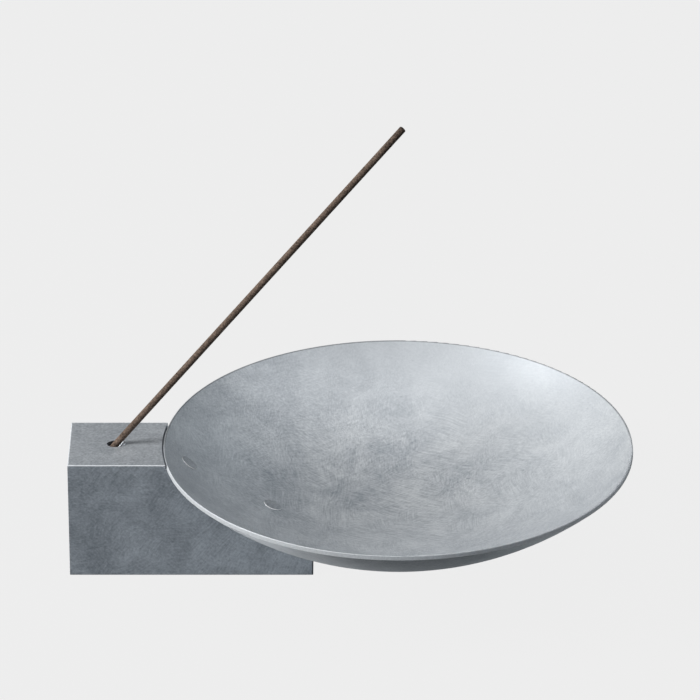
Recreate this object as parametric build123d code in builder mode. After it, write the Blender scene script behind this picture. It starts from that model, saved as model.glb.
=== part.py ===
"""Incense stick holder: a metal block, a shallow round dish pinned into the block, and a slanted stick.

Millimetres, +Z up. The origin is the centre of the block's underside, where the holder stands.
+X runs along the block towards the dish, and the object is the same on both sides of the plane Y = 0.
"""
from build123d import *
from math import asin, atan2, cos, degrees, radians, sin, sqrt
import os

# Block
block_length = 70.0
block_depth = 27.0
block_height = 35.5
block_edge_radius = 0.22

# Stretch of the block's top that stays bare beside the dish
bare_top_length = 26.58

# Dish: a cap of a spherical shell, its height taken up to the sharp lip before that is rounded.
# The rim's outer face slopes: its lower edge is the widest ring and stands a step further out than the lip.
dish_diameter = 134.84
dish_height = 28.27
dish_wall = 1.2
rim_step = 0.17
lip_radius = 0.22
rim_edge_radius = 0.08

# Pocket in the block that the dish sits in, with its lip a little below the block's top
lip_below_top = 0.11
rim_gap = 0.35
seat_clearance = 0.05

# Incense stick, and the slanted hole that is wide at its mouth and narrow where it grips the foot
stick_diameter = 2.0
stick_length = 140.0
stick_lean = 39.6
stick_end_radius = 0.15
stick_clearance = 0.08
hole_mouth_diameter = 4.1
hole_mouth_depth = 5.5
hole_depth = 11.5
hole_from_block_end = 13.43

# Flat-headed pins that hold the dish in its pocket
pin_head_diameter = 5.5
pin_head_sunk = 0.3
pin_head_proud = 0.35
pin_shank_diameter = 3.0
pin_grip = 6.5
pin_clearance = 0.03
pin_tip_room = 0.5
pin_edge_chamfer = 0.12
upper_pin_from_rim = 7.5
lower_pin_from_block_end = 11.8

# Shell: both walls share one centre on the dish's axis, and the inner wall runs out to the sharp lip
dish_radius = dish_diameter / 2
lip_reach = dish_radius - rim_step
outer_radius = (lip_reach**2 + dish_height**2 - dish_wall**2) / (2 * (dish_height - dish_wall))
inner_radius = outer_radius - dish_wall
centre_above_lip = outer_radius - dish_height
edge_above_lip = centre_above_lip - sqrt(outer_radius**2 - dish_radius**2)

# Rounding the sharp lip lowers it, so the shell is raised to bring the rounded lip to its height
rim_slope = atan2(rim_step, -edge_above_lip)
lip_half_angle = (radians(90) - asin(lip_reach / inner_radius) + rim_slope) / 2
lip_loss = lip_radius * (cos(lip_half_angle - rim_slope) / sin(lip_half_angle) - 1)
lip_height = block_height - lip_below_top + lip_loss

dish_x = bare_top_length + rim_gap + dish_radius - block_length / 2
dish_axis = Axis((dish_x, 0, 0), (0, 0, 1))
shell_centre = Vector(dish_x, 0, lip_height + centre_above_lip)

# Half section of the dish: local X runs out from the dish's axis, local Y up from the sharp lip
dish_section = Plane(origin=(dish_x, 0, lip_height), x_dir=(1, 0, 0), z_dir=(0, -1, 0))

# Stick line: it leaves the bare top and leans over the dish
lean = radians(stick_lean)
hole_mouth = Plane(
    origin=(hole_from_block_end - block_length / 2, 0, block_height),
    x_dir=(0, 1, 0),
    z_dir=(sin(lean), 0, cos(lean)),
)


def shell_angle(reach, radius):
    """Angle in degrees, seen from the shell's centre, between the dish's axis and a point at this reach."""
    return degrees(asin(reach / radius))


def pin_seat(reach):
    """Plane on the dish's inner wall, facing into the dish, where a pin stands square to the wall."""
    tilt = radians(shell_angle(reach, inner_radius))
    inward = Vector(sin(tilt), 0, cos(tilt))
    return Plane(origin=shell_centre - inward * inner_radius, x_dir=(0, 1, 0), z_dir=inward)


pin_seats = {
    "upper_dish_pin": pin_seat(dish_radius - upper_pin_from_rim),
    "lower_dish_pin": pin_seat(dish_x - block_length / 2 + lower_pin_from_block_end),
}
pin_end = dish_wall + pin_grip

os.makedirs("parts", exist_ok=True)

# Block: a solid bar with a round pocket for the dish, the slanted stick hole and a hole for each pin
pocket_radius = dish_radius + rim_gap
seat_radius = outer_radius + seat_clearance

with BuildPart() as block:
    Box(block_length, block_depth, block_height, align=(Align.CENTER, Align.CENTER, Align.MIN))
    with BuildSketch(dish_section):
        with BuildLine():
            seat = CenterArc((0, centre_above_lip), seat_radius, -90, shell_angle(pocket_radius, seat_radius))
            Polyline(seat @ 1, (pocket_radius, block_height), (0, block_height), seat @ 0)
        make_face()
    revolve(axis=dish_axis, mode=Mode.SUBTRACT)
    pocket_wall = block.faces().filter_by(GeomType.CYLINDER)
    fillet(block.edges() - pocket_wall.edges().filter_by(GeomType.CIRCLE), radius=block_edge_radius)
    with Locations(hole_mouth):
        CounterBoreHole(
            radius=stick_diameter / 2 + stick_clearance,
            counter_bore_radius=hole_mouth_diameter / 2,
            counter_bore_depth=hole_mouth_depth,
            depth=hole_depth,
        )
    with Locations(*pin_seats.values()):
        Hole(radius=pin_shank_diameter / 2 + pin_clearance, depth=pin_end + pin_tip_room)

block.part.label = "block"
export_step(block.part, "parts/block.step")

# Dish: a thin spherical cap with a steep rim and a sunk seat for each pin head
with BuildPart() as dish:
    with BuildSketch(dish_section) as dish_profile:
        with BuildLine():
            inside = CenterArc((0, centre_above_lip), inner_radius, -90, shell_angle(lip_reach, inner_radius))
            outside = CenterArc((0, centre_above_lip), outer_radius, -90, shell_angle(dish_radius, outer_radius))
            Line(inside @ 1, outside @ 1)
            Line(inside @ 0, outside @ 0)
        make_face()
        rim_edge, lip = dish_profile.vertices().sort_by(Axis.Y)[-2:]
        fillet(lip, radius=lip_radius)
        fillet(rim_edge, radius=rim_edge_radius)
    revolve(axis=dish_axis)
    with Locations(*pin_seats.values()):
        CounterBoreHole(
            radius=pin_shank_diameter / 2 + pin_clearance,
            counter_bore_radius=pin_head_diameter / 2 + pin_clearance,
            counter_bore_depth=pin_head_sunk,
            depth=pin_end,
        )

dish.part.label = "dish"
export_step(dish.part, "parts/dish.step")

# Pins: a thin flat head that lies in the dish, and a plain shank driven into the block
for pin_name, seat_plane in pin_seats.items():
    head_foot = seat_plane.offset(-pin_head_sunk)
    with BuildPart() as pin:
        with BuildSketch(head_foot):
            Circle(pin_head_diameter / 2)
        extrude(amount=pin_head_sunk + pin_head_proud)
        with BuildSketch(head_foot):
            Circle(pin_shank_diameter / 2)
        extrude(amount=pin_head_sunk - pin_end)
        rings = pin.edges().filter_by(GeomType.CIRCLE).sort_by(Axis(head_foot.origin, head_foot.z_dir))
        chamfer([rings[0], rings[-1]], length=pin_edge_chamfer)
    pin.part.label = pin_name
    export_step(pin.part, f"parts/{pin_name}.step")

# Incense stick: a plain round rod whose foot stands on the floor of the hole
with BuildPart() as incense_stick:
    with BuildSketch(hole_mouth.offset(-hole_depth)):
        Circle(stick_diameter / 2)
    extrude(amount=stick_length)
    fillet(incense_stick.edges().filter_by(GeomType.CIRCLE), radius=stick_end_radius)

incense_stick.part.label = "incense_stick"
export_step(incense_stick.part, "parts/incense_stick.step")
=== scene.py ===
"""Looks of an incense stick holder: a sanded metal block, a dish pinned into it and a slanted stick.

Metres, +Z up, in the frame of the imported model. The block and the dish keep their solids and get a
hand-sanded finish. The pins and the stick are modelled again with rounder edges and a rougher skin.
"""

import logging
import math
from collections.abc import Callable
from dataclasses import dataclass, field
from enum import Enum
from typing import Protocol

import bmesh
import bpy
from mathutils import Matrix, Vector


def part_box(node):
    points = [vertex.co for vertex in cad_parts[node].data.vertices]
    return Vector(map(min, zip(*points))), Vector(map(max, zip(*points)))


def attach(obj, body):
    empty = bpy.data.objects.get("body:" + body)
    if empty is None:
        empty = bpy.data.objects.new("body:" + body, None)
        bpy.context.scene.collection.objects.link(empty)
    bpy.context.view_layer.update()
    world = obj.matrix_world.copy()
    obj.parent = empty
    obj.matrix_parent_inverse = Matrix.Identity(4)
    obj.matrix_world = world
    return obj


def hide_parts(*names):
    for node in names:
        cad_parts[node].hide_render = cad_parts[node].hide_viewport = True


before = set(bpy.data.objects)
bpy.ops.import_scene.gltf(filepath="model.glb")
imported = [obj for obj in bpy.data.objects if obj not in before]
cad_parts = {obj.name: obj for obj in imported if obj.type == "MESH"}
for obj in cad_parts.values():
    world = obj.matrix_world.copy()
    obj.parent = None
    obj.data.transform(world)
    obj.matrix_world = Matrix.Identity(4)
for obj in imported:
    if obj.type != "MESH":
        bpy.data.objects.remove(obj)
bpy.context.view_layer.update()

log = logging.getLogger("incense_stick_holder")

Colour = tuple[float, float, float]
Place = tuple[float, float, float]
Turn = tuple[float, float, float]
Rates = tuple[float, float, float]
Socket = bpy.types.NodeSocket

MM = 0.001
WHITE: Colour = (1.0, 1.0, 1.0)
MIDDLE_TONE = 0.5

# Gap between nodes in the node editor
NODE_STEP = 220.0

# Values between which nearly all of a noise lies
NOISE_LOW = 0.25
NOISE_HIGH = 0.75

# Keeps a vector's X and Y and drops its height
LEVEL: Place = (1.0, 1.0, 0.0)

# How much of a face's normal points up or down where the face counts as level
NEARLY_LEVEL = 0.9


class Body(Enum):
    """The two bodies that pieces ride on."""

    HOLDER = "holder"
    STICK = "stick"


class Slot(Enum):
    """Names of the record's material slots for the new pieces; this script does not use them."""

    PIN = "pin_aluminium"
    INCENSE = "incense"


class Sum(Enum):
    """Sums that a Math node does."""

    ADD = "ADD"
    TAKE = "SUBTRACT"
    TIMES = "MULTIPLY"
    SMALLER = "MINIMUM"
    LARGER = "MAXIMUM"
    POWER = "POWER"


class VectorSum(Enum):
    """Sums that a Vector Math node does."""

    ADD = "ADD"
    TAKE = "SUBTRACT"
    TIMES = "MULTIPLY"
    TIMES_AND_ADD = "MULTIPLY_ADD"
    UNSIGNED = "ABSOLUTE"
    CROSS = "CROSS_PRODUCT"
    DOT = "DOT_PRODUCT"
    LENGTH = "LENGTH"


class Wiring:
    """Adds the shader nodes of one material or surround and joins them."""

    def __init__(self, tree: bpy.types.NodeTree) -> None:
        """Starts on an emptied node tree.

        Args:
            tree: The node tree to fill.
        """
        tree.nodes.clear()
        self.tree = tree

    def add(self, kind: str, **inputs: object) -> bpy.types.Node:
        """Adds a node and sets or joins its inputs.

        Args:
            kind: Blender's name for the node type.
            inputs: Values or sockets by input name, with _ for a space.

        Returns:
            The new node.
        """
        node = self.tree.nodes.new(kind)
        node.location = (NODE_STEP * len(self.tree.nodes), 0.0)
        for name, value in inputs.items():
            self.feed(node.inputs[name.replace("_", " ")], value)
        return node

    def feed(self, socket: Socket, value: object) -> None:
        """Joins a socket to an input, or sets the input to a plain value.

        Args:
            socket: The input.
            value: A socket, number, colour or vector.
        """
        if isinstance(value, Socket):
            self.tree.links.new(value, socket)
        else:
            socket.default_value = value

    def sum(self, kind: Sum, first: object, second: object) -> Socket:
        """Does one sum on two numbers.

        Args:
            kind: Which sum.
            first: A number or socket.
            second: A number or socket.

        Returns:
            The result's socket.
        """
        node = self.add("ShaderNodeMath")
        node.operation = kind.value
        self.feed(node.inputs[0], first)
        self.feed(node.inputs[1], second)
        return node.outputs[0]

    def span(self, value: object, low: float, high: float, to_low: float = 0.0, to_high: float = 1.0,
             soft: bool = True) -> Socket:
        """Maps one span of values on to another.

        Args:
            value: The number or socket to map.
            low: Where the span starts.
            high: Where the span ends.
            to_low: The result at its start.
            to_high: The result at its end.
            soft: Whether the result eases in and out.

        Returns:
            The result's socket.
        """
        node = self.add("ShaderNodeMapRange")
        node.interpolation_type = "SMOOTHSTEP" if soft else "LINEAR"
        for name, number in (("Value", value), ("From Min", low), ("From Max", high),
                             ("To Min", to_low), ("To Max", to_high)):
            self.feed(node.inputs[name], number)
        return node.outputs["Result"]

    def vector(self, kind: VectorSum, *values: object) -> Socket:
        """Does one sum on vectors.

        Args:
            kind: Which sum.
            values: Vectors or sockets, in order.

        Returns:
            The result's socket, a number where the sum gives one.
        """
        node = self.add("ShaderNodeVectorMath")
        node.operation = kind.value
        for socket, value in zip(node.inputs, values):
            self.feed(socket, value)
        return node.outputs["Value" if kind in (VectorSum.LENGTH, VectorSum.DOT) else "Vector"]

    def parts(self, vector: Socket) -> bpy.types.NodeOutputs:
        """Splits a vector into its X, Y and Z."""
        return self.add("ShaderNodeSeparateXYZ", Vector=vector).outputs

    def level(self, vector: Socket) -> Socket:
        """Drops a vector's height."""
        return self.vector(VectorSum.TIMES, vector, LEVEL)

    def placed(self, where: Socket, turn: Turn, rates: Rates) -> Socket:
        """Turns and stretches a pattern's coordinates.

        Args:
            where: The coordinates.
            turn: Angles about X, Y and Z in degrees.
            rates: Repeats per metre along the turned axes.

        Returns:
            The new coordinates.
        """
        node = self.add("ShaderNodeMapping", Vector=where)
        node.inputs["Rotation"].default_value = [math.radians(angle) for angle in turn]
        return self.vector(VectorSum.TIMES, node.outputs["Vector"], rates)

    def noise(self, where: Socket, scale: float, detail: float = 2.0,
              roughness: float = 0.5) -> bpy.types.Node:
        """Adds a noise pattern.

        Args:
            where: The coordinates.
            scale: Repeats per unit of the coordinates.
            detail: Octaves of finer noise.
            roughness: How strong the finer octaves are.

        Returns:
            The noise node.
        """
        return self.add("ShaderNodeTexNoise", Vector=where, Scale=scale, Detail=detail, Roughness=roughness)

    def evened(self, noise: bpy.types.Node) -> Socket:
        """Stretches a noise, which keeps near its middle, over the span from 0 to 1."""
        return self.span(noise.outputs[0], NOISE_LOW, NOISE_HIGH, soft=False)

    def blend(self, share: object, first: object, second: object) -> Socket:
        """Mixes two numbers.

        Args:
            share: How much of the second one, from 0 to 1.
            first: A number or socket.
            second: A number or socket.

        Returns:
            The result's socket.
        """
        node = self.add("ShaderNodeMix", Factor=share, A=first, B=second)
        return node.outputs["Result"]

    def tint(self, share: object, first: object, second: object) -> Socket:
        """Mixes two colours.

        Args:
            share: How much of the second one, from 0 to 1.
            first: A colour or socket.
            second: A colour or socket.

        Returns:
            The result's socket.
        """
        node = self.add("ShaderNodeMixRGB", Fac=share, Color1=first, Color2=second)
        return node.outputs["Color"]

    def ramp(self, tone: Socket, dark: Colour, light: Colour) -> Socket:
        """Gives a colour between a dark and a light one.

        Args:
            tone: 0 for the dark colour, 1 for the light one.
            dark: The dark colour.
            light: The light colour.

        Returns:
            The colour's socket.
        """
        node = self.add("ShaderNodeValToRGB", Fac=tone)
        for stop, colour in zip(node.color_ramp.elements, (dark, light)):
            stop.color = (*colour, 1.0)
        return node.outputs["Color"]

    def object_point(self) -> Socket:
        """Gives the Object coordinates."""
        return self.add("ShaderNodeTexCoord").outputs["Object"]

    def close(self, shader: bpy.types.Node) -> None:
        """Joins a surface shader to the material's output."""
        self.add("ShaderNodeOutputMaterial", Surface=shader.outputs["BSDF"])


def new_material(name: str) -> tuple[bpy.types.Material, Wiring]:
    """Starts a material.

    Args:
        name: The material's name.

    Returns:
        The material and its emptied nodes.
    """
    made = bpy.data.materials.new(name)
    made.use_nodes = True
    return made, Wiring(made.node_tree)


class Zone(Protocol):
    """Says where a piece gets wear with a painted highlight, or painted shade."""

    def mask(self, wiring: Wiring, where: Socket) -> Socket:
        """Gives 1 in the zone and 0 away from it."""


@dataclass(frozen=True)
class UpperEdges:
    """The block's straight upper edges: wear plus a painted highlight."""

    middle: Place
    half: Place
    reach: float = 0.42 * MM

    def mask(self, wiring: Wiring, where: Socket) -> Socket:
        """Finds points near the block's top and one of its sides.

        Args:
            wiring: The material's nodes.
            where: Object coordinates.

        Returns:
            The mask's socket.
        """
        offset = wiring.vector(VectorSum.TAKE, where, self.middle)
        sides = wiring.parts(wiring.vector(VectorSum.UNSIGNED, offset))
        top = wiring.parts(offset)["Z"]
        near = [wiring.span(socket, half - self.reach, half - self.reach / 3)
                for socket, half in zip((sides["X"], sides["Y"], top), self.half)]
        return wiring.sum(Sum.SMALLER, near[2], wiring.sum(Sum.LARGER, near[0], near[1]))


@dataclass(frozen=True)
class ShadedEnd:
    """The block's end under the dish, darkened as painted shade where the dish shades it."""

    end: float
    reach: float = 0.55 * MM

    def mask(self, wiring: Wiring, where: Socket) -> Socket:
        """Finds points on the block's far end.

        Args:
            wiring: The material's nodes.
            where: Object coordinates.

        Returns:
            The mask's socket.
        """
        ahead = wiring.parts(where)["X"]
        return wiring.span(ahead, self.end - self.reach, self.end - self.reach / 2)


@dataclass(frozen=True)
class RimFace:
    """The steep outer face of the dish's rim, outside the shaded pocket: wear plus a painted highlight."""

    axis: Place
    inner: float
    foot: float
    pocket_half: float
    ease: float = 0.1 * MM
    beside_ease: float = 2.0 * MM
    ahead_ease: float = 5.0 * MM

    def mask(self, wiring: Wiring, where: Socket) -> Socket:
        """Finds points that are far out, high up and clear of the pocket.

        Args:
            wiring: The material's nodes.
            where: Object coordinates.

        Returns:
            The mask's socket.
        """
        offset = wiring.vector(VectorSum.TAKE, where, self.axis)
        out = wiring.vector(VectorSum.LENGTH, wiring.level(offset))
        high = wiring.parts(where)["Z"]
        face = wiring.sum(Sum.TIMES, wiring.span(out, self.inner, self.inner + self.ease),
                          wiring.span(high, self.foot - self.ease / 2, self.foot + self.ease / 2))
        beside = wiring.parts(wiring.vector(VectorSum.UNSIGNED, offset))["Y"]
        ahead = wiring.parts(offset)["X"]
        clear = wiring.sum(Sum.LARGER,
                           wiring.span(beside, self.pocket_half - self.beside_ease, self.pocket_half),
                           wiring.span(ahead, 0.0, self.ahead_ease))
        return wiring.sum(Sum.TIMES, face, clear)


@dataclass(frozen=True)
class ShadedLipBack:
    """The back half of the dish's lip, darkened as painted shade."""

    axis: Place
    inner: float
    ease: float = 0.1 * MM
    fade_start: float = -5.0 * MM
    fade_end: float = 12.0 * MM

    def mask(self, wiring: Wiring, where: Socket) -> Socket:
        """Finds points on the lip that lie behind the dish's middle.

        Args:
            wiring: The material's nodes.
            where: Object coordinates.

        Returns:
            The mask's socket.
        """
        offset = wiring.level(wiring.vector(VectorSum.TAKE, where, self.axis))
        out = wiring.span(wiring.vector(VectorSum.LENGTH, offset), self.inner, self.inner + self.ease)
        behind = wiring.parts(offset)["Y"]
        return wiring.sum(Sum.TIMES, out, wiring.span(behind, self.fade_start, self.fade_end))


@dataclass(frozen=True)
class HeadEdge:
    """The edge of a pin's head where it stands proud: wear plus a painted highlight."""

    foot: Place
    along: Place
    radius: float
    reach: float = 0.16 * MM
    flush: float = 0.1 * MM
    proud: float = 0.22 * MM

    def mask(self, wiring: Wiring, where: Socket) -> Socket:
        """Finds points far out from the pin's own axis and clear of the dish.

        Args:
            wiring: The material's nodes.
            where: Object coordinates.

        Returns:
            The mask's socket.
        """
        arm = wiring.vector(VectorSum.TAKE, where, self.foot)
        out = wiring.vector(VectorSum.LENGTH, wiring.vector(VectorSum.CROSS, arm, self.along))
        height = wiring.vector(VectorSum.DOT, arm, self.along)
        edge = wiring.span(out, self.radius - self.reach, self.radius - self.reach / 2)
        return wiring.sum(Sum.TIMES, edge, wiring.span(height, self.flush, self.proud))


@dataclass(frozen=True)
class SandingEffort:
    """How coarsely each part of the dish was sanded: most about one spot, least along its back."""

    spot: Place
    back: Place
    inner: float = 15.0 * MM
    outer: float = 65.0 * MM
    most: float = 1.05
    far_out: float = 0.6
    back_start: float = 10.0 * MM
    back_end: float = 42.0 * MM
    back_share: float = 0.3
    usual: float = 1.0
    little: float = 0.2
    extra_roughness: float = 0.03

    def strength(self, wiring: Wiring, where: Socket) -> Socket:
        """Gives how strongly clouds and marks show.

        Args:
            wiring: The material's nodes.
            where: Object coordinates.

        Returns:
            The strength, 1 for a usual amount.
        """
        offset = wiring.level(wiring.vector(VectorSum.TAKE, where, self.spot))
        around = wiring.span(wiring.vector(VectorSum.LENGTH, offset), self.inner, self.outer,
                             self.most, self.far_out)
        behind = wiring.span(wiring.vector(VectorSum.DOT, offset, self.back),
                             self.back_start, self.back_end, self.usual, self.back_share, soft=False)
        return wiring.sum(Sum.TIMES, around, behind)

    def roughening(self, wiring: Wiring, strength: Socket) -> Socket:
        """Gives the roughness that the skin keeps where little was sanded."""
        return wiring.span(strength, self.little, self.usual, self.extra_roughness, 0.0, soft=False)


@dataclass(frozen=True)
class Clouds:
    """Broad soft patches with smaller blotches in them."""

    patch_rate: float = 26.0
    blotch_rate: float = 95.0
    blotch_detail: float = 5.0
    blotch_roughness: float = 0.6
    blotch_warp: float = 0.7
    blotch_share: float = 0.65

    def pattern(self, wiring: Wiring, where: Socket) -> Socket:
        """Makes the clouds.

        Args:
            wiring: The material's nodes.
            where: Object coordinates.

        Returns:
            Values about 0.5.
        """
        patches = wiring.evened(wiring.noise(where, self.patch_rate))
        blotches = wiring.noise(where, self.blotch_rate, self.blotch_detail, self.blotch_roughness)
        wiring.feed(blotches.inputs["Distortion"], self.blotch_warp)
        return wiring.blend(self.blotch_share, patches, wiring.evened(blotches))


@dataclass(frozen=True)
class Strokes:
    """Short swirling strokes that run different ways in different patches, and a fine grain."""

    turns: tuple[Turn, Turn, Turn] = ((0.0, 12.0, 0.0), (0.0, 58.0, 0.0), (0.0, -35.0, 0.0))
    rate: float = 290.0
    fineness: float = 2200.0
    swirl_rate: float = 38.0
    swirl_reach: float = 10.0 * MM
    patch_rate: float = 80.0
    patch_low: float = 0.42
    patch_high: float = 0.58
    crossing_share: float = 0.35
    grain_rate: float = 1400.0
    grain_roughness: float = 0.6
    grain_share: float = 0.45

    def swirled(self, wiring: Wiring, where: Socket) -> Socket:
        """Bends the coordinates, so that straight strokes become swirls.

        Args:
            wiring: The material's nodes.
            where: Object coordinates.

        Returns:
            The bent coordinates.
        """
        drift = wiring.noise(where, self.swirl_rate, detail=1.0).outputs["Color"]
        reach = (self.swirl_reach, self.swirl_reach, self.swirl_reach)
        return wiring.vector(VectorSum.TIMES_AND_ADD, drift, reach, where)

    def pattern(self, wiring: Wiring, where: Socket) -> Socket:
        """Makes the strokes and the grain.

        Args:
            wiring: The material's nodes.
            where: Object coordinates.

        Returns:
            Values about 0.5.
        """
        bent = self.swirled(wiring, where)
        sets = []
        for turn in self.turns:
            stretched = wiring.placed(bent, turn, (self.rate, self.fineness, self.fineness))
            sets.append(wiring.evened(wiring.noise(stretched, 1.0, detail=1.0)))
        patch = wiring.noise(where, self.patch_rate, detail=1.0).outputs[0]
        patch = wiring.span(patch, self.patch_low, self.patch_high)
        strokes = wiring.blend(self.crossing_share, wiring.blend(patch, sets[0], sets[1]), sets[2])
        grain = wiring.evened(wiring.noise(where, self.grain_rate, roughness=self.grain_roughness))
        return wiring.blend(self.grain_share, strokes, grain)


@dataclass(frozen=True)
class Ticks:
    """A few small dark ticks."""

    turn: Turn = (0.0, 15.0, 25.0)
    rates: Rates = (95.0, 190.0, 190.0)
    core: float = 0.03
    edge: float = 0.075

    def pattern(self, wiring: Wiring, where: Socket) -> Socket:
        """Makes the ticks.

        Args:
            wiring: The material's nodes.
            where: Object coordinates.

        Returns:
            1 on a tick, 0 elsewhere.
        """
        stretched = wiring.placed(where, self.turn, self.rates)
        cells = wiring.add("ShaderNodeTexVoronoi", Vector=stretched, Scale=1.0)
        return wiring.span(cells.outputs["Distance"], self.core, self.edge, 1.0, 0.0)


@dataclass(frozen=True)
class SandedMetal:
    """Hand-sanded metal: clouds, short swirls, a few ticks, worn edges with painted highlight, painted
    shade.
    """

    name: str
    deep: Colour = (0.326, 0.355, 0.395)
    pale: Colour = (0.70, 0.735, 0.778)
    metallic: float = 0.6
    roughness: float = 0.46
    roughness_spread: float = 0.05
    clouds: Clouds = Clouds()
    clouding: float = 1.0
    strokes: Strokes = Strokes()
    marking: float = 1.2
    mark_height: float = 0.012 * MM
    ticks: Ticks = Ticks()
    ticking: float = 0.4
    # Zone of edges made paler and less metallic: partly real wear, partly a painted highlight
    wear_and_highlight: Zone | None = None
    wear_highlight_colour: Colour = (0.755, 0.785, 0.82)
    wear_highlight_metallic: float = 0.15
    streak_low: float = 0.2
    streak_high: float = 0.8
    streak_dim: float = 0.9
    streak_bright: float = 1.08
    # Zone darkened as painted shade, and the colour's factor there
    painted_shade: Zone | None = None
    painted_shade_level: float = 0.6
    effort: SandingEffort | None = None

    def tone(self, wiring: Wiring, where: Socket, clouds: Socket, marks: Socket,
             strength: Socket | float) -> Socket:
        """Adds up the clouds, marks and ticks.

        Args:
            wiring: The material's nodes.
            where: Object coordinates.
            clouds: The clouds.
            marks: The strokes and the grain.
            strength: How strongly they show.

        Returns:
            0 where the metal is deepest, 1 where it is palest.
        """
        cloud_tone = wiring.span(clouds, 0.0, 1.0, -self.clouding / 2, self.clouding / 2, soft=False)
        mark_tone = wiring.span(marks, 0.0, 1.0, -self.marking / 2, self.marking / 2, soft=False)
        tone = wiring.sum(Sum.ADD, cloud_tone, mark_tone)
        ticks = wiring.sum(Sum.TIMES, self.ticks.pattern(wiring, where), self.ticking)
        tone = wiring.sum(Sum.TAKE, tone, ticks)
        return wiring.sum(Sum.ADD, wiring.sum(Sum.TIMES, tone, strength), MIDDLE_TONE)

    def material(self) -> bpy.types.Material:
        """Makes the metal's material.

        Returns:
            The material.
        """
        made, wiring = new_material(self.name)
        where = wiring.object_point()
        clouds = self.clouds.pattern(wiring, where)
        marks = self.strokes.pattern(wiring, where)
        strength = 1.0 if self.effort is None else self.effort.strength(wiring, where)
        tone = self.tone(wiring, where, clouds, marks, strength)
        rough = wiring.span(clouds, 0.0, 1.0, self.roughness + self.roughness_spread,
                            self.roughness - self.roughness_spread, soft=False)
        if self.effort is not None:
            rough = wiring.sum(Sum.ADD, rough, self.effort.roughening(wiring, strength))
        colour = wiring.ramp(tone, self.deep, self.pale)
        bump = wiring.add("ShaderNodeBump", Strength=strength, Distance=self.mark_height, Height=marks)
        shader = wiring.add("ShaderNodeBsdfPrincipled", Metallic=self.metallic, Roughness=rough,
                            Normal=bump.outputs["Normal"])
        # Painted shade: the colour is darkened in its zone
        if self.painted_shade is not None:
            shade = wiring.span(self.painted_shade.mask(wiring, where), 0.0, 1.0, 1.0, self.painted_shade_level)
            colour = wiring.vector(VectorSum.TIMES, colour, shade)
        # Wear plus a painted highlight: a paler, less metallic, streaked colour on the edges
        if self.wear_and_highlight is not None:
            wear_highlight_mask = self.wear_and_highlight.mask(wiring, where)
            streaks = wiring.span(marks, self.streak_low, self.streak_high, self.streak_dim,
                                  self.streak_bright, soft=False)
            wear_highlight_colour = wiring.vector(VectorSum.TIMES, self.wear_highlight_colour, streaks)
            colour = wiring.tint(wear_highlight_mask, colour, wear_highlight_colour)
            metallic = wiring.span(wear_highlight_mask, 0.0, 1.0, self.metallic, self.wear_highlight_metallic)
            wiring.feed(shader.inputs["Metallic"], metallic)
        wiring.feed(shader.inputs["Base Color"], colour)
        wiring.close(shader)
        return made


@dataclass(frozen=True)
class PressedPowder:
    """Incense: dry pressed powder, speckled with lighter grains and darker towards the tip."""

    name: str
    tip: Place
    dark: Colour = (0.044, 0.031, 0.024)
    light: Colour = (0.246, 0.18, 0.142)
    grain_rate: float = 2000.0
    grain_detail: float = 3.0
    grain_roughness: float = 0.65
    grain_low: float = 0.3
    grain_high: float = 0.72
    grain_tone: float = 0.8
    grain_height: float = 0.03 * MM
    grain_relief: float = 0.3
    patch_rate: float = 380.0
    patch_low: float = 0.3
    patch_high: float = 0.7
    patch_tone: float = 0.2
    tip_reach: float = 9.0 * MM
    tip_darkening: float = 0.3
    smoothest: float = 0.84
    roughest: float = 0.97
    rough_from: float = 0.3
    rough_to: float = 0.7
    gloss: float = 0.2

    def material(self) -> bpy.types.Material:
        """Makes the incense material.

        Returns:
            The material.
        """
        made, wiring = new_material(self.name)
        where = wiring.object_point()
        grains = wiring.noise(where, self.grain_rate, self.grain_detail, self.grain_roughness).outputs[0]
        patches = wiring.noise(where, self.patch_rate).outputs[0]
        tone = wiring.sum(Sum.ADD,
                          wiring.span(grains, self.grain_low, self.grain_high, 0.0, self.grain_tone),
                          wiring.span(patches, self.patch_low, self.patch_high, 0.0, self.patch_tone))
        from_tip = wiring.vector(VectorSum.LENGTH, wiring.vector(VectorSum.TAKE, where, self.tip))
        darkening = wiring.span(from_tip, 0.0, self.tip_reach, self.tip_darkening, 0.0)
        tone = wiring.sum(Sum.TAKE, tone, darkening)
        colour = wiring.ramp(tone, self.dark, self.light)
        rough = wiring.span(grains, self.rough_from, self.rough_to, self.smoothest, self.roughest)
        bump = wiring.add("ShaderNodeBump", Strength=self.grain_relief, Distance=self.grain_height,
                          Height=grains)
        shader = wiring.add("ShaderNodeBsdfPrincipled", Base_Color=colour, Roughness=rough,
                            Specular_IOR_Level=self.gloss, Normal=bump.outputs["Normal"])
        wiring.close(shader)
        return made


def deselect_all() -> None:
    """Leaves object mode with nothing selected."""
    if bpy.context.mode != "OBJECT":
        bpy.ops.object.mode_set(mode="OBJECT")
    bpy.ops.object.select_all(action="DESELECT")


def pick_faces(piece: bpy.types.Object, wanted: Callable[[bmesh.types.BMFace], bool]) -> None:
    """Selects faces in edit mode.

    Args:
        piece: The piece in edit mode.
        wanted: Says whether a face is selected.
    """
    bpy.ops.mesh.select_all(action="DESELECT")
    bpy.ops.mesh.select_mode(type="FACE")
    shape = bmesh.from_edit_mesh(piece.data)
    for face in shape.faces:
        face.select_set(wanted(face))
    bmesh.update_edit_mesh(piece.data)


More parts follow.
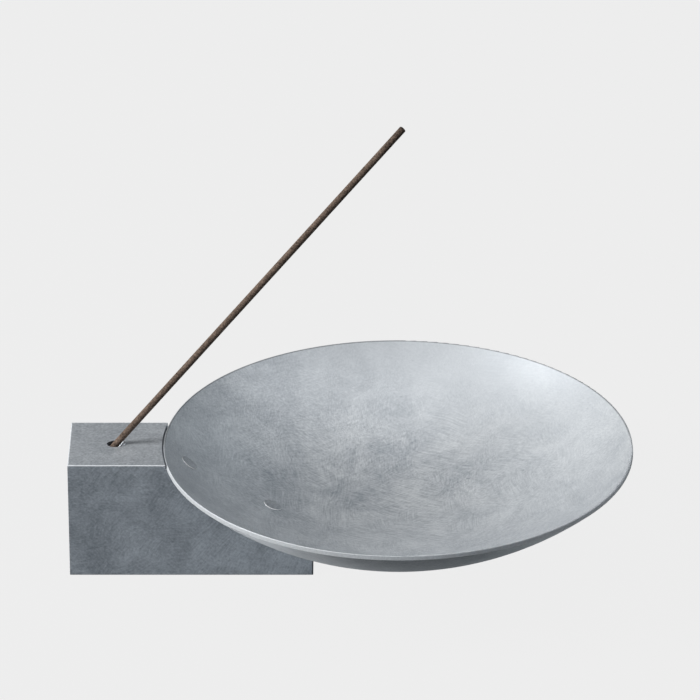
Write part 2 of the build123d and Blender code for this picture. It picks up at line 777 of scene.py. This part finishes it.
def pick_edges(piece: bpy.types.Object, wanted: Callable[[bmesh.types.BMEdge], bool]) -> None:
    """Selects edges in edit mode.

    Args:
        piece: The piece in edit mode.
        wanted: Says whether an edge is selected.
    """
    bpy.ops.mesh.select_all(action="DESELECT")
    bpy.ops.mesh.select_mode(type="EDGE")
    shape = bmesh.from_edit_mesh(piece.data)
    for edge in shape.edges:
        edge.select_set(wanted(edge))
    bmesh.update_edit_mesh(piece.data)


def settle(piece: bpy.types.Object) -> None:
    """Puts a piece's place, turn and size into its mesh.

    Args:
        piece: The piece, alone selected and active.
    """
    bpy.ops.object.transform_apply(location=True, rotation=True, scale=True)
    piece.data.update()


def leaning(angle: float) -> Vector:
    """Gives the upward direction that leans this many degrees towards the dish."""
    return Vector((math.sin(math.radians(angle)), 0.0, math.cos(math.radians(angle))))


@dataclass
class HolderBlock:
    """The solid block that stands on the table."""

    node: str = "block"

    def dress(self) -> bpy.types.Object:
        """Gives the block its sanded finish.

        Returns:
            The block's object.
        """
        low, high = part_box(self.node)
        # The upper edges get wear plus a painted highlight
        edges = UpperEdges(middle=tuple((low + high) / 2), half=tuple((high - low) / 2))
        # The far end under the dish gets painted shade
        finish = SandedMetal("block_sanded_metal", wear_and_highlight=edges, painted_shade=ShadedEnd(end=high.x), painted_shade_level=0.36)
        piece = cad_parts[self.node]
        piece.material_slots[0].material = finish.material()
        return piece


@dataclass
class AshDish:
    """The shallow round dish that catches the ash."""

    node: str = "dish"
    rim_foot: float = 34.14 * MM
    rim_face_width: float = 0.3 * MM
    lip_width: float = 0.7 * MM
    sanded_most: Place = (-10.0 * MM, 22.0 * MM, 0.0)
    towards_back: Place = (0.3, 0.95, 0.0)
    stroke_turns: tuple[Turn, Turn, Turn] = ((0.0, 0.0, 25.0), (0.0, 0.0, 85.0), (0.0, 0.0, 145.0))

    def dress(self) -> bpy.types.Object:
        """Gives the dish its sanded finish.

        Returns:
            The dish's object.
        """
        low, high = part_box(self.node)
        middle = (low + high) / 2
        radius = (high.x - low.x) / 2
        # The rim's outer face gets wear plus a painted highlight
        rim = RimFace(axis=tuple(middle), inner=radius - self.rim_face_width, foot=self.rim_foot,
                      pocket_half=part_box("block")[1].y)
        # The back of the lip gets painted shade
        lip = ShadedLipBack(axis=tuple(middle), inner=radius - self.lip_width)
        effort = SandingEffort(spot=tuple(middle + Vector(self.sanded_most)), back=self.towards_back)
        strokes = Strokes(turns=self.stroke_turns, rate=170.0, grain_share=0.3)
        finish = SandedMetal("dish_sanded_metal", pale=(0.712, 0.738, 0.765), roughness=0.49,
                             strokes=strokes, wear_and_highlight=rim, wear_highlight_colour=(0.70, 0.73, 0.765), painted_shade=lip, effort=effort)
        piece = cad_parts[self.node]
        piece.material_slots[0].material = finish.material()
        return piece


@dataclass
class DishPin:
    """A flat-headed pin that holds the dish, sanded off a little askew so that its far side is flush."""

    node: str
    piece_name: str
    tilt: float
    shell_centre: Place = (59.35 * MM, 0.0, 105.636 * MM)
    shell_radius: float = 97.07 * MM
    head_radius: float = 2.75 * MM
    head_sunk: float = 0.3 * MM
    head_proud: float = 0.35 * MM
    head_rounding: float = 0.16 * MM
    head_segments: int = 4
    rim_share: float = 0.98
    top_slope: float = 3.4
    shank_radius: float = 1.5 * MM
    shank_length: float = 7.4 * MM
    tip_chamfer: float = 0.12 * MM
    tip_segments: int = 2
    sides: int = 72
    smooth_below: float = 35.0

    def along(self) -> Vector:
        """Gives the pin's direction, square to the dish's wall and into the dish."""
        return leaning(self.tilt)

    def seat(self) -> Vector:
        """Gives the point on the dish's wall that the head covers."""
        return Vector(self.shell_centre) - self.along() * self.shell_radius

    def build(self) -> bpy.types.Object:
        """Models the pin upright, then stands it in its seat.

        Returns:
            The pin's object.
        """
        deselect_all()
        bpy.ops.mesh.primitive_cylinder_add(vertices=self.sides, radius=self.head_radius,
                                            depth=self.head_sunk + self.head_proud,
                                            location=(0.0, 0.0, (self.head_proud - self.head_sunk) / 2))
        pin = bpy.context.object
        pin.name = self.piece_name
        settle(pin)
        bpy.ops.object.mode_set(mode="EDIT")
        self.draw_shank(pin)
        self.slope_top(pin)
        self.round_edges(pin)
        bpy.ops.object.mode_set(mode="OBJECT")
        pin.location = self.seat()
        pin.rotation_euler = (0.0, math.radians(self.tilt), 0.0)
        settle(pin)
        bpy.ops.object.shade_smooth_by_angle(angle=math.radians(self.smooth_below))
        return pin

    def draw_shank(self, pin: bpy.types.Object) -> None:
        """Insets the head's underside and draws the shank out of it.

        Args:
            pin: The pin in edit mode.
        """
        pick_faces(pin, lambda face: face.normal.z < -NEARLY_LEVEL)
        bpy.ops.mesh.inset(thickness=self.head_radius - self.shank_radius)
        bpy.ops.mesh.extrude_region_move(TRANSFORM_OT_translate={"value": (0.0, 0.0, -self.shank_length)})

    def slope_top(self, pin: bpy.types.Object) -> None:
        """Turns the head's top about its near edge, so that the far edge sinks.

        Args:
            pin: The pin in edit mode.
        """
        pick_faces(pin, lambda face: face.normal.z > NEARLY_LEVEL and face.calc_center_median().z > 0.0)
        bpy.ops.transform.rotate(value=math.radians(self.top_slope), orient_axis="X", orient_type="GLOBAL",
                                 center_override=(0.0, -self.head_radius, self.head_proud))

    def round_edges(self, pin: bpy.types.Object) -> None:
        """Rounds the head's rim and breaks the shank's tip.

        Args:
            pin: The pin in edit mode.
        """
        far_out = self.head_radius * self.rim_share
        tip_height = -self.head_sunk - self.shank_length
        pick_edges(pin, lambda edge: all(
            vert.co.xy.length > far_out and vert.co.z > -self.head_sunk / 2 for vert in edge.verts))
        bpy.ops.mesh.bevel(offset=self.head_rounding, segments=self.head_segments, affect="EDGES")
        pick_edges(pin, lambda edge: all(vert.co.z < tip_height + self.tip_chamfer for vert in edge.verts))
        bpy.ops.mesh.bevel(offset=self.tip_chamfer, segments=self.tip_segments, affect="EDGES")

    def dress(self, pin: bpy.types.Object) -> None:
        """Gives the pin a darker sanded finish and its place in the frame.

        Args:
            pin: The pin's object.
        """
        # The head's edge gets wear plus a painted highlight, near white and matte
        edge = HeadEdge(foot=tuple(self.seat()), along=tuple(self.along()), radius=self.head_radius)
        finish = SandedMetal(f"{self.piece_name}_metal", deep=(0.28, 0.304, 0.338),
                             pale=(0.61, 0.632, 0.657), wear_and_highlight=edge, wear_highlight_colour=(0.94, 0.95, 0.96),
                             wear_highlight_metallic=0.0)
        pin.data.materials.append(finish.material())
        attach(pin, Body.HOLDER.value)
        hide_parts(self.node)


@dataclass
class IncenseStick:
    """The coreless stick that stands at a slant in the block's hole."""

    node: str = "incense_stick"
    piece_name: str = "pressed_stick"
    mouth: Place = (-21.57 * MM, 0.0, 35.5 * MM)
    lean: float = 39.6
    depth: float = 11.5 * MM
    length: float = 140.0 * MM
    radius: float = 1.0 * MM
    sides: int = 36
    end_share: float = 0.998
    end_rounding: float = 0.22 * MM
    end_segments: int = 4
    ring_cuts: tuple[int, int] = (19, 17)
    long_edge: float = 3.0 * MM
    grain_size: float = 0.9 * MM
    grain_octaves: int = 2
    grain_depth: float = 0.025 * MM

    def along(self) -> Vector:
        """Gives the stick's direction, up and over the dish."""
        return leaning(self.lean)

    def tip(self) -> Vector:
        """Gives the middle of the stick's upper end."""
        return Vector(self.mouth) + self.along() * (self.length - self.depth)

    def build(self) -> bpy.types.Object:
        """Models the stick upright with a grainy skin, then leans it into its hole.

        Returns:
            The stick's object.
        """
        deselect_all()
        bpy.ops.mesh.primitive_cylinder_add(vertices=self.sides, radius=self.radius, depth=self.length)
        stick = bpy.context.object
        stick.name = self.piece_name
        bpy.ops.object.mode_set(mode="EDIT")
        self.round_ends(stick)
        self.cut_rings(stick)
        bpy.ops.object.mode_set(mode="OBJECT")
        self.roughen(stick)
        stick.location = self.tip() - self.along() * (self.length / 2)
        stick.rotation_euler = (0.0, math.radians(self.lean), 0.0)
        settle(stick)
        bpy.ops.object.shade_smooth()
        return stick

    def round_ends(self, stick: bpy.types.Object) -> None:
        """Rounds both ends.

        Args:
            stick: The stick in edit mode.
        """
        both_ends = self.length * self.end_share
        pick_edges(stick, lambda edge: abs(sum(vert.co.z for vert in edge.verts)) > both_ends)
        bpy.ops.mesh.bevel(offset=self.end_rounding, segments=self.end_segments, affect="EDGES")

    def cut_rings(self, stick: bpy.types.Object) -> None:
        """Cuts the long sides into rings less than half a millimetre apart.

        Args:
            stick: The stick in edit mode.
        """
        for cuts in self.ring_cuts:
            pick_edges(stick, lambda edge: edge.calc_length() > self.long_edge)
            bpy.ops.mesh.subdivide(number_cuts=cuts)

    def roughen(self, stick: bpy.types.Object) -> None:
        """Presses small hollows into the skin.

        Args:
            stick: The stick, alone selected and active.
        """
        grain = bpy.data.textures.new("incense_grain", "CLOUDS")
        grain.noise_scale = self.grain_size
        grain.noise_depth = self.grain_octaves
        hollows = stick.modifiers.new("hollows", "DISPLACE")
        hollows.texture = grain
        hollows.texture_coords = "LOCAL"
        hollows.mid_level = 1.0
        hollows.strength = self.grain_depth
        bpy.ops.object.modifier_apply(modifier=hollows.name)

    def dress(self, stick: bpy.types.Object) -> None:
        """Gives the stick its incense finish and its place in the frame.

        Args:
            stick: The stick's object.
        """
        stick.data.materials.append(PressedPowder("pressed_incense", tip=tuple(self.tip())).material())
        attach(stick, Body.STICK.value)
        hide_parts(self.node)


@dataclass(frozen=True)
class Softbox:
    """A soft rectangular studio light."""

    name: str
    place: Place
    aim: Place
    width: float
    height: float
    power: float
    tint: Colour = WHITE

    def hang(self) -> bpy.types.Object:
        """Adds the light and turns it to its aim.

        Returns:
            The light's object.
        """
        data = bpy.data.lights.new(self.name, "AREA")
        data.shape = "RECTANGLE"
        data.size = self.width
        data.size_y = self.height
        data.energy = self.power
        data.color = self.tint
        light = bpy.data.objects.new(self.name, data)
        bpy.context.scene.collection.objects.link(light)
        light.location = self.place
        light.rotation_euler = (Vector(self.aim) - Vector(self.place)).to_track_quat("-Z", "Y").to_euler()
        light.visible_camera = False
        return light


@dataclass(frozen=True)
class DomeGlow:
    """A broad soft glow of the studio's dome."""

    bearing: float
    rise: float
    narrowing: float
    strength: float
    tint: Colour = WHITE

    def towards(self) -> Place:
        """Gives the direction of the glow's middle."""
        around, up = math.radians(self.bearing), math.radians(self.rise)
        return (math.cos(up) * math.sin(around), -math.cos(up) * math.cos(around), math.sin(up))

    def add_to(self, wiring: Wiring, direction: Socket) -> Socket:
        """Adds the glow to the surround's nodes.

        Args:
            wiring: The surround's nodes.
            direction: The direction that is looked in.

        Returns:
            The glow's colour in that direction.
        """
        facing = wiring.vector(VectorSum.DOT, direction, self.towards())
        share = wiring.sum(Sum.POWER, wiring.span(facing, -1.0, 1.0, soft=False), self.narrowing)
        return wiring.vector(VectorSum.TIMES, tuple(self.strength * part for part in self.tint), share)


@dataclass
class Studio:
    """The pale floor, the soft lights, the surround and the camera."""

    lens: float = 289.186
    sensor: float = 36.0
    camera_place: Place = (0.04555, -1.43286, 0.77816)
    camera_tilt: float = 63.558
    floor_half: float = 30.0
    floor_drop: float = 0.02 * MM
    floor_glow: float = 0.838
    floor_paint: float = 0.01
    floor_roughness: float = 0.9
    backdrop: float = 0.847
    glows: list[DomeGlow] = field(default_factory=lambda: [
        DomeGlow(bearing=-13.0, rise=79.4, narrowing=42.0, strength=3.26, tint=(1.0, 1.0, 0.99)),
        DomeGlow(bearing=83.4, rise=49.2, narrowing=40.0, strength=1.97, tint=(0.97, 1.0, 1.03)),
        DomeGlow(bearing=136.0, rise=26.9, narrowing=60.0, strength=0.82, tint=(0.89, 1.0, 1.06)),
        DomeGlow(bearing=-133.4, rise=26.3, narrowing=30.0, strength=1.52, tint=(1.0, 1.0, 0.98)),
        DomeGlow(bearing=-145.4, rise=-42.2, narrowing=60.0, strength=4.35, tint=(0.97, 1.0, 1.02)),
        DomeGlow(bearing=4.9, rise=-18.5, narrowing=60.0, strength=1.19, tint=(0.90, 1.0, 1.09)),
        DomeGlow(bearing=137.8, rise=-43.8, narrowing=60.0, strength=1.75, tint=(0.93, 1.0, 1.03)),
    ])
    lights: list[Softbox] = field(default_factory=lambda: [
        Softbox("left_key_softbox", place=(-1.2667, -0.3295, 0.885), aim=(0.045, 0.0, 0.03),
                width=0.55, height=0.55, power=26.1, tint=(1.0, 1.0, 0.985)),
    ])

    def lay_floor(self) -> bpy.types.Object:
        """Lays a pale floor that shows only a faint shadow.

        Returns:
            The floor's object.
        """
        deselect_all()
        bpy.ops.mesh.primitive_plane_add(size=2 * self.floor_half, location=(0.0, 0.0, -self.floor_drop))
        floor = bpy.context.object
        floor.name = "pale_floor"
        made, wiring = new_material("pale_floor_paint")
        paint = (self.floor_paint, self.floor_paint, self.floor_paint, 1.0)
        shader = wiring.add("ShaderNodeBsdfPrincipled", Base_Color=paint, Roughness=self.floor_roughness,
                            Specular_IOR_Level=0.0, Emission_Color=(*WHITE, 1.0),
                            Emission_Strength=self.floor_glow)
        wiring.close(shader)
        floor.data.materials.append(made)
        floor.visible_diffuse = False
        floor.visible_glossy = False
        floor.visible_shadow = False
        return floor

    def light(self) -> None:
        """Hangs the softboxes inside a soft dome that the camera sees as pale."""
        for softbox in self.lights:
            softbox.hang()
        world = bpy.data.worlds.new("studio_surround")
        bpy.context.scene.world = world
        world.use_nodes = True
        wiring = Wiring(world.node_tree)
        direction = wiring.add("ShaderNodeTexCoord").outputs["Generated"]
        colour = self.glows[0].add_to(wiring, direction)
        for glow in self.glows[1:]:
            colour = wiring.vector(VectorSum.ADD, glow.add_to(wiring, direction), colour)
        dome = wiring.add("ShaderNodeBackground", Color=colour, Strength=1.0)
        pale = wiring.add("ShaderNodeBackground", Color=(*WHITE, 1.0), Strength=self.backdrop)
        path = wiring.add("ShaderNodeLightPath")
        mixed = wiring.add("ShaderNodeMixShader", Fac=path.outputs["Is Camera Ray"])
        wiring.feed(mixed.inputs[1], dome.outputs["Background"])
        wiring.feed(mixed.inputs[2], pale.outputs["Background"])
        wiring.add("ShaderNodeOutputWorld", Surface=mixed.outputs["Shader"])
        bpy.context.scene.view_settings.view_transform = "Standard"

    def place_camera(self) -> None:
        """Stands the camera where the photograph was taken from."""
        data = bpy.data.cameras.new("photo_camera")
        data.lens = self.lens
        data.sensor_width = self.sensor
        camera = bpy.data.objects.new("photo_camera", data)
        bpy.context.scene.collection.objects.link(camera)
        camera.location = self.camera_place
        camera.rotation_euler = (math.radians(self.camera_tilt), 0.0, 0.0)
        bpy.context.scene.camera = camera

    def build(self) -> None:
        """Sets up the whole studio."""
        self.lay_floor()
        self.light()
        self.place_camera()


def main() -> None:
    """Builds and dresses every piece, then the studio."""
    logging.basicConfig(level=logging.INFO, format="%(name)s: %(message)s")
    for part in (HolderBlock(), AshDish()):
        log.info("dressed %s", part.dress().name)
    for part in (DishPin("upper_dish_pin", "upper_pin", tilt=38.118),
                 DishPin("lower_dish_pin", "lower_pin", tilt=21.865), IncenseStick()):
        piece = part.build()
        part.dress(piece)
        log.info("built %s for %s", piece.name, part.node)
    Studio().build()


if __name__ == "__main__":
    main()
